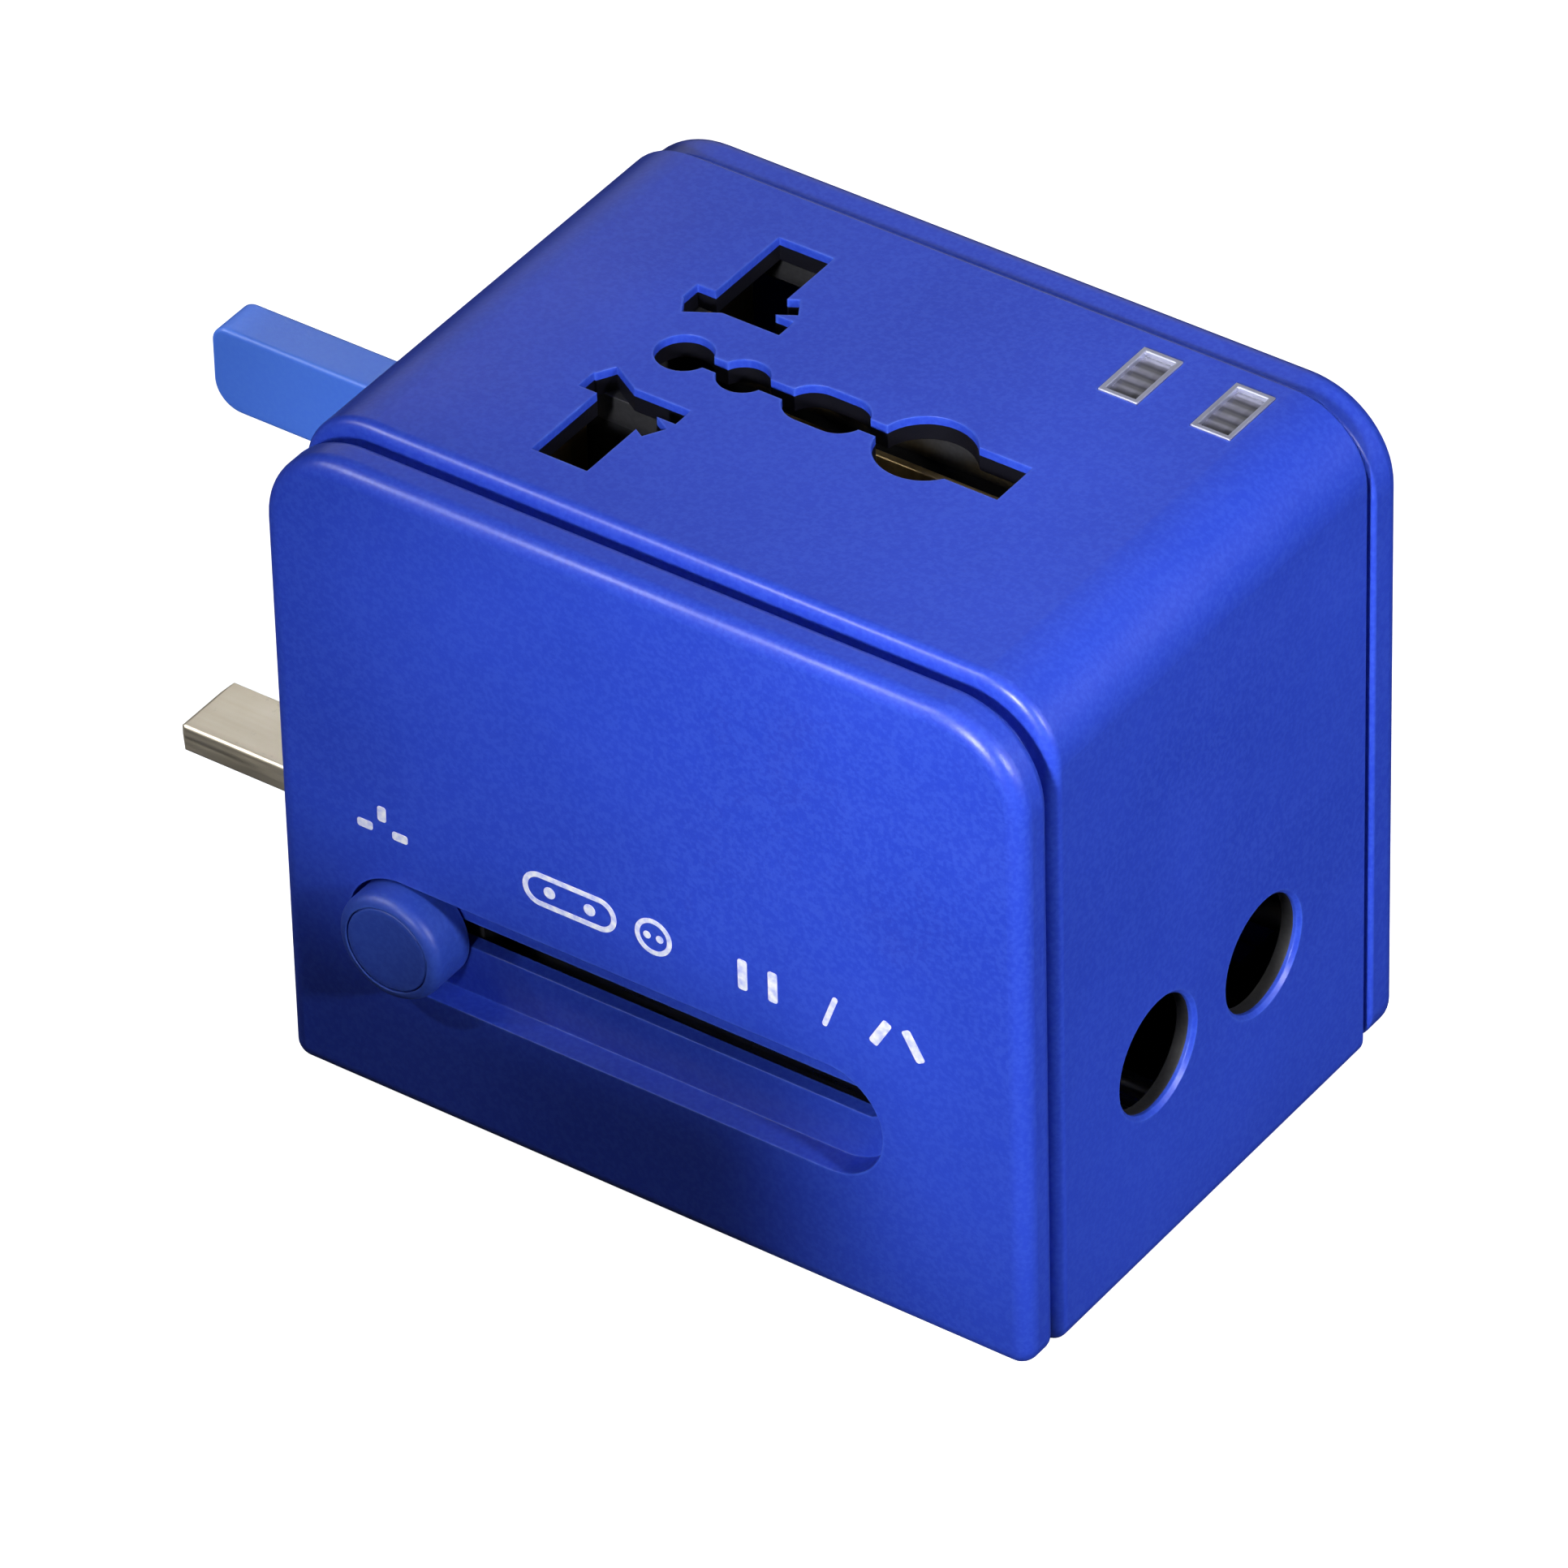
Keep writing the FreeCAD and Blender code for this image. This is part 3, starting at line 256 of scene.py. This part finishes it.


# ---------------------------------------------------------------- materials by slot

# Distances from the housing's faces to the boxes whose surfaces are painted near black as painted shade,
# inside the housing and in the socket mouths.
SIDE_WALL = 1.58 * MM
LEFT_WALL = 1.97 * MM
CORNER_WALL = 2.6 * MM
END_DEPTH = 2.2 * MM
LIP = 0.7 * MM
MOUTH_INSET = 8.0 * MM
housing_low, housing_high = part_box("middle_housing")
case_inside_painted_shade = (
    (housing_low.x + LEFT_WALL, housing_low.y + END_DEPTH, housing_low.z + LEFT_WALL),
    (housing_high.x - SIDE_WALL, housing_high.y - END_DEPTH, housing_high.z - CORNER_WALL),
)
socket_mouth_painted_shade = (
    (housing_low.x + MOUTH_INSET, housing_low.y + CORNER_WALL, housing_high.z - 2 * CORNER_WALL),
    (housing_high.x - MOUTH_INSET, housing_high.y - CORNER_WALL, housing_high.z - LIP),
)

# Each plastic: colour, shade, edge colour (pale flecks, and edges painted paler as wear and as a painted
# edge highlight), roughness.
PLASTICS = {
    "case_plastic": ((0.024, 0.062, 0.56), (0.018, 0.049, 0.47), (0.10, 0.22, 0.90), 0.36),
    "knob_plastic": ((0.028, 0.075, 0.50), (0.022, 0.058, 0.42), (0.10, 0.22, 0.85), 0.42),
    "pin_plastic": ((0.085, 0.235, 0.93), (0.070, 0.200, 0.87), (0.14, 0.36, 0.98), 0.34),
    # black_plastic also colours the liners in the right-face holes, dark tubes put there as painted shade
    # for the holes' insides.
    "black_plastic": ((0.020, 0.020, 0.023), (0.012, 0.012, 0.014), (0.07, 0.07, 0.08), 0.50),
    "fuse_ceramic": ((0.80, 0.78, 0.72), (0.70, 0.68, 0.62), (0.92, 0.90, 0.86), 0.22),
    "absorber": ((0.05, 0.11, 0.36), (0.03, 0.08, 0.28), (0.14, 0.22, 0.50), 0.38),
    "resistor": ((0.52, 0.38, 0.22), (0.44, 0.30, 0.16), (0.70, 0.55, 0.38), 0.45),
}
PLASTIC_EXTRAS = {
    # Painted shade: the housing's inside and the socket mouths are painted near black.
    "case_plastic": {"painted_shade_boxes": (case_inside_painted_shade, socket_mouth_painted_shade)},
    "pin_plastic": {"soft_edge": 0.0004},
}

# Each metal: colour, shade, stain colour, roughness, stretch of its drawn grain.
ALONG_X = (0.06, 1.0, 1.0)
ALONG_Y = (1.0, 0.08, 1.0)
ALONG_Z = (1.0, 1.0, 0.08)
UNDRAWN = (1.0, 1.0, 1.0)
METALS = {
    "pin_brass": ((0.98, 0.90, 0.75), (0.88, 0.79, 0.62), (0.40, 0.34, 0.24), 0.40, ALONG_X),
    "contact_brass": ((0.72, 0.55, 0.28), (0.50, 0.36, 0.16), (0.20, 0.14, 0.07), 0.34, ALONG_Z),
    "spring_steel": ((0.62, 0.63, 0.65), (0.42, 0.43, 0.45), (0.16, 0.16, 0.17), 0.24, ALONG_X),
    "screw_steel": ((0.55, 0.56, 0.60), (0.36, 0.37, 0.40), (0.12, 0.12, 0.13), 0.28, UNDRAWN),
    "frame_metal": ((0.72, 0.74, 0.92), (0.58, 0.60, 0.78), (0.26, 0.26, 0.36), 0.42, ALONG_Y),
}

looks = {
    "window_lens": clear_lens("window_lens_look", (0.16, 0.16, 0.22), (0.05, 0.05, 0.07)),
    "lamp_lens": clear_lens("lamp_lens_look", (0.75, 0.10, 0.05), (0.35, 0.03, 0.02)),
    "board": laminate("board_look", (0.03, 0.16, 0.06), (0.02, 0.11, 0.04), (0.50, 0.26, 0.08)),
}
for slot_name, tones in PLASTICS.items():
    extras = PLASTIC_EXTRAS.get(slot_name, {})
    looks[slot_name] = moulded_plastic(slot_name + "_look", *tones, **extras)
for slot_name, tones in METALS.items():
    looks[slot_name] = worn_metal(slot_name + "_look", *tones)
ink = printed_ink("print_look", (0.86, 0.87, 0.95), (0.45, 0.50, 0.90))

for part in frame["record"]["subparts"]:
    mesh = nodes[part["node"]].data
    mesh.materials.clear()
    mesh.materials.append(looks[part["material_slot"]])


# ---------------------------------------------------------------- shared mesh helpers

def new_piece(name, work, material):
    """Turns a bmesh into an object with one material, and frees the bmesh."""
    mesh = bpy.data.meshes.new(name)
    work.to_mesh(mesh)
    work.free()
    mesh.materials.append(material)
    piece = bpy.data.objects.new(name, mesh)
    scene.collection.objects.link(piece)
    return piece


def finish_mesh(name, work, material, body):
    piece = new_piece(name, work, material)
    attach(piece, body)
    return piece


def add_walls(work, near, far):
    """Faces between two rings of equal count."""
    for step in range(len(near)):
        follower = (step + 1) % len(near)
        work.faces.new((near[follower], near[step], far[step], far[follower]))


# ---------------------------------------------------------------- printed marks

INK_THICK = 0.04 * MM
INK_Z = 26.75 * MM
PRINT_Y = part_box("front_cover")[0].y
RECTANGULAR_MARK_X = -23.0 * MM
ROUND_MARK_X = -4.1 * MM
FLAT_MARK_X = 15.9 * MM


def print_shape(work, outline, hole):
    """Adds a thin flat shape in XZ to the front cover; outline and hole are rings of equal count."""
    back, front = [
        [[work.verts.new((x, y, z)) for x, z in ring] for ring in (outline, hole) if ring]
        for y in (PRINT_Y, PRINT_Y - INK_THICK)
    ]
    add_walls(work, front[0], back[0])
    if hole:
        add_walls(work, front[1], front[0])
        add_walls(work, back[0], back[1])
        add_walls(work, back[1], front[1])
    else:
        work.faces.new(front[0])
        work.faces.new(back[0][::-1])


def rounded_bar(x, z, width, height, turn=0.0, corner=0.22 * MM, steps=5):
    """A ring round a rounded bar centred at x, z, in the XZ plane."""
    ring = []
    corner = min(corner, width / 2, height / 2)
    for quarter in range(4):
        sx = 1 if quarter in (0, 3) else -1
        sz = 1 if quarter in (0, 1) else -1
        for step in range(steps + 1):
            angle = math.pi / 2 * (quarter + step / steps)
            across = sx * (width / 2 - corner) + corner * math.cos(angle)
            up = sz * (height / 2 - corner) + corner * math.sin(angle)
            ring.append((
                x + across * math.cos(turn) - up * math.sin(turn),
                z + across * math.sin(turn) + up * math.cos(turn),
            ))
    return ring


def round_bar(x, width, height, steps=5):
    """A bar on the print's centre line with fully round ends."""
    return rounded_bar(x, INK_Z, width, height, corner=height / 2, steps=steps)


def rectangular_mark():
    """Three bars: one upright above two that lie flat."""
    long, short = 1.35 * MM, 0.75 * MM
    up, across = 0.75 * MM, 1.55 * MM
    return [
        (rounded_bar(RECTANGULAR_MARK_X, INK_Z + up, short, long), None),
        (rounded_bar(RECTANGULAR_MARK_X - across, INK_Z - up, long, short), None),
        (rounded_bar(RECTANGULAR_MARK_X + across, INK_Z - up, long, short), None),
    ]


def round_mark():
    """A flat plug's outline and a round one's, each with two pins."""
    plug = ROUND_MARK_X - 2.4 * MM
    disc = ROUND_MARK_X + 4.9 * MM
    shapes = [
        (round_bar(plug, 8.2 * MM, 3.0 * MM, steps=9), round_bar(plug, 7.3 * MM, 2.1 * MM, steps=9)),
        (round_bar(disc, 3.2 * MM, 3.2 * MM, steps=9), round_bar(disc, 2.4 * MM, 2.4 * MM, steps=9)),
    ]
    for middle, offset, width in ((plug, 1.75 * MM, 1.0 * MM), (disc, 0.55 * MM, 0.64 * MM)):
        for x in (middle - offset, middle + offset):
            shapes.append((round_bar(x, width, width), None))
    return shapes


def flat_mark():
    """Two upright bars, a slash, and two bars that lean together."""
    lean = math.radians(30)
    shapes = []
    for x, turn in ((-7.4, 0), (-4.8, 0), (4.4, -lean), (7.2, lean)):
        bar = rounded_bar(FLAT_MARK_X + x * MM, INK_Z, 0.8 * MM, 2.7 * MM, turn=turn)
        shapes.append((bar, None))
    slash = rounded_bar(FLAT_MARK_X + 0.1 * MM, INK_Z, 0.45 * MM, 3.1 * MM, turn=-math.radians(20))
    shapes.append((slash, None))
    return shapes


def make_print():
    """Pin-pattern pictograms that mark the selector's three stops."""
    for make_mark in (rectangular_mark, round_mark, flat_mark):
        work = bmesh.new()
        for outline, hole in make_mark():
            print_shape(work, outline, hole)
        bmesh.ops.recalc_face_normals(work, faces=work.faces)
        finish_mesh(make_mark.__name__, work, ink, "case")


make_print()


# ---------------------------------------------------------------- button spring

SPRING_WIRE = 0.08 * MM
SPRING_TURNS = 3


def make_button_spring():
    """A conical coil behind the unlock button, built as one rigid piece on the carriage."""
    low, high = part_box("button_spring")
    centre = (low + high) / 2
    height = high.y - low.y
    wide = (high.x - low.x) / 2 - SPRING_WIRE
    narrow = 0.55 * wide
    steps, sides = 96, 8
    along = Vector((0, 1, 0))
    work = bmesh.new()
    rings = []
    for step in range(steps + 1):
        share = step / steps
        angle = 2 * math.pi * SPRING_TURNS * share
        outward = Vector((math.cos(angle), 0, math.sin(angle)))
        middle = centre + outward * (wide + (narrow - wide) * share)
        middle.y = high.y - SPRING_WIRE - (height - 2 * SPRING_WIRE) * share
        ring = []
        for side in range(sides):
            turn = 2 * math.pi * side / sides
            spoke = math.cos(turn) * outward + math.sin(turn) * along
            ring.append(work.verts.new(middle + SPRING_WIRE * spoke))
        rings.append(ring)
    for near, far in zip(rings, rings[1:]):
        add_walls(work, near, far)
    work.faces.new(rings[0][::-1])
    work.faces.new(rings[-1])
    bmesh.ops.recalc_face_normals(work, faces=work.faces)
    spring = finish_mesh("coil_spring", work, looks["spring_steel"], "carriage")
    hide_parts("button_spring")
    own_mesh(spring)


make_button_spring()


# ---------------------------------------------------------------- stage, lights and camera

FLAG_X = (-0.016, 0.030)
FLAG_Y = -0.139
FLAG_Z = (0.044, 0.070)


def make_floor():
    work = bmesh.new()
    bmesh.ops.create_grid(work, x_segments=8, y_segments=8, size=6.0)
    shader = Shader("floor_look")
    mottle = shader.ramp(shader.noise(3.0, 2.0), 0.3, 0.7)
    shader.set(Base_Color=shader.mix(mottle, (0.80, 0.80, 0.81), (0.84, 0.84, 0.85)), Roughness=0.9)
    shader.set(Emission_Color=(1.0, 1.0, 1.0), Emission_Strength=1.0)
    floor = new_piece("floor", work, shader.material)
    floor.visible_diffuse = False
    floor.visible_glossy = False


def make_flag():
    """A card, not seen itself, that keeps the front spot off the front face's lower left."""
    work = bmesh.new()
    lower = [work.verts.new((x, FLAG_Y, FLAG_Z[0])) for x in FLAG_X]
    upper = [work.verts.new((x, FLAG_Y, FLAG_Z[1])) for x in FLAG_X]
    work.faces.new((*lower, *upper[::-1]))
    shader = Shader("flag_look")
    weave = shader.ramp(shader.noise(900.0, 2.0), 0.3, 0.7)
    shader.set(Base_Color=shader.mix(weave, (0.01, 0.01, 0.01), (0.02, 0.02, 0.02)), Roughness=1.0)
    flag = new_piece("flag", work, shader.material)
    flag.visible_camera = False
    flag.visible_glossy = False
    flag.visible_diffuse = False


def place_lamp(name, lamp, place, target):
    item = bpy.data.objects.new(name, lamp)
    item.location = place
    item.rotation_euler = (Vector(target) - Vector(place)).to_track_quat("-Z", "Y").to_euler()
    scene.collection.objects.link(item)
    return item


def area_light(name, place, target, size, energy, lights_flats=True):
    """A square softbox; one that doesn't light flats only shows in reflections."""
    lamp = bpy.data.lights.new(name, "AREA")
    lamp.size = size
    lamp.energy = energy
    place_lamp(name, lamp, place, target).visible_diffuse = lights_flats


def spot_light(name, place, target, energy, cone, softness):
    """A soft-edged spot; cone is its full angle in degrees."""
    lamp = bpy.data.lights.new(name, "SPOT")
    lamp.energy = energy
    lamp.spot_size = math.radians(cone)
    lamp.spot_blend = 1.0
    lamp.shadow_soft_size = softness
    place_lamp(name, lamp, place, target)


def make_lights():
    area_light("top_softbox", (0.06, 0.12, 0.60), (0, 0, 0.03), 0.50, 0.38)
    area_light("edge_softbox", (-0.26, -0.35, 0.40), (0, 0, 0.05), 0.12, 1.2, lights_flats=False)
    area_light("side_softbox", (0.42, 0.10, 0.22), (0.03, 0, 0.03), 0.25, 0.6)
    area_light("back_softbox", (-0.35, 0.45, 0.25), (0, 0, 0.03), 0.4, 0.3)
    spot_light("front_spot", (0.10, -0.60, 0.30), (0.030, -0.024, 0.060), 38.0, 12.8, 0.06)
    spot_light("side_spot", (0.60, -0.10, 0.35), (0.0325, 0.0, 0.042), 38.0, 7.8, 0.06)
    spot_light("pin_spot", (-0.45, -0.25, 0.35), (-0.052, -0.005, 0.033), 13.0, 6.5, 0.03)
    spot_light("brass_spot", (-0.45, 0.55, 0.58), (-0.060, -0.0111, 0.017), 15.0, 2.2, 0.05)
    world = bpy.data.worlds.new("studio")
    world.use_nodes = True
    background = world.node_tree.nodes["Background"]
    background.inputs["Color"].default_value = (0.90, 0.93, 1.0, 1.0)
    background.inputs["Strength"].default_value = 0.03
    scene.world = world


CAMERA_PLACE = Vector((0.43583, -0.60914, 0.61072))
CAMERA_AIM = Vector((-0.00190, -0.00402, 0.02626))
CAMERA_ROLL = math.radians(-1.552)


def make_camera():
    data = bpy.data.cameras.new("camera")
    data.sensor_width = 36.0
    data.lens = 303.29
    data.clip_start = 0.05
    camera = bpy.data.objects.new("camera", data)
    turn = (CAMERA_AIM - CAMERA_PLACE).to_track_quat("-Z", "Y").to_matrix().to_4x4()
    camera.matrix_world = Matrix.Translation(CAMERA_PLACE) @ turn @ Matrix.Rotation(CAMERA_ROLL, 4, "Z")
    scene.collection.objects.link(camera)
    scene.camera = camera


make_floor()
make_flag()
make_lights()
make_camera()
scene.view_settings.view_transform = "Standard"
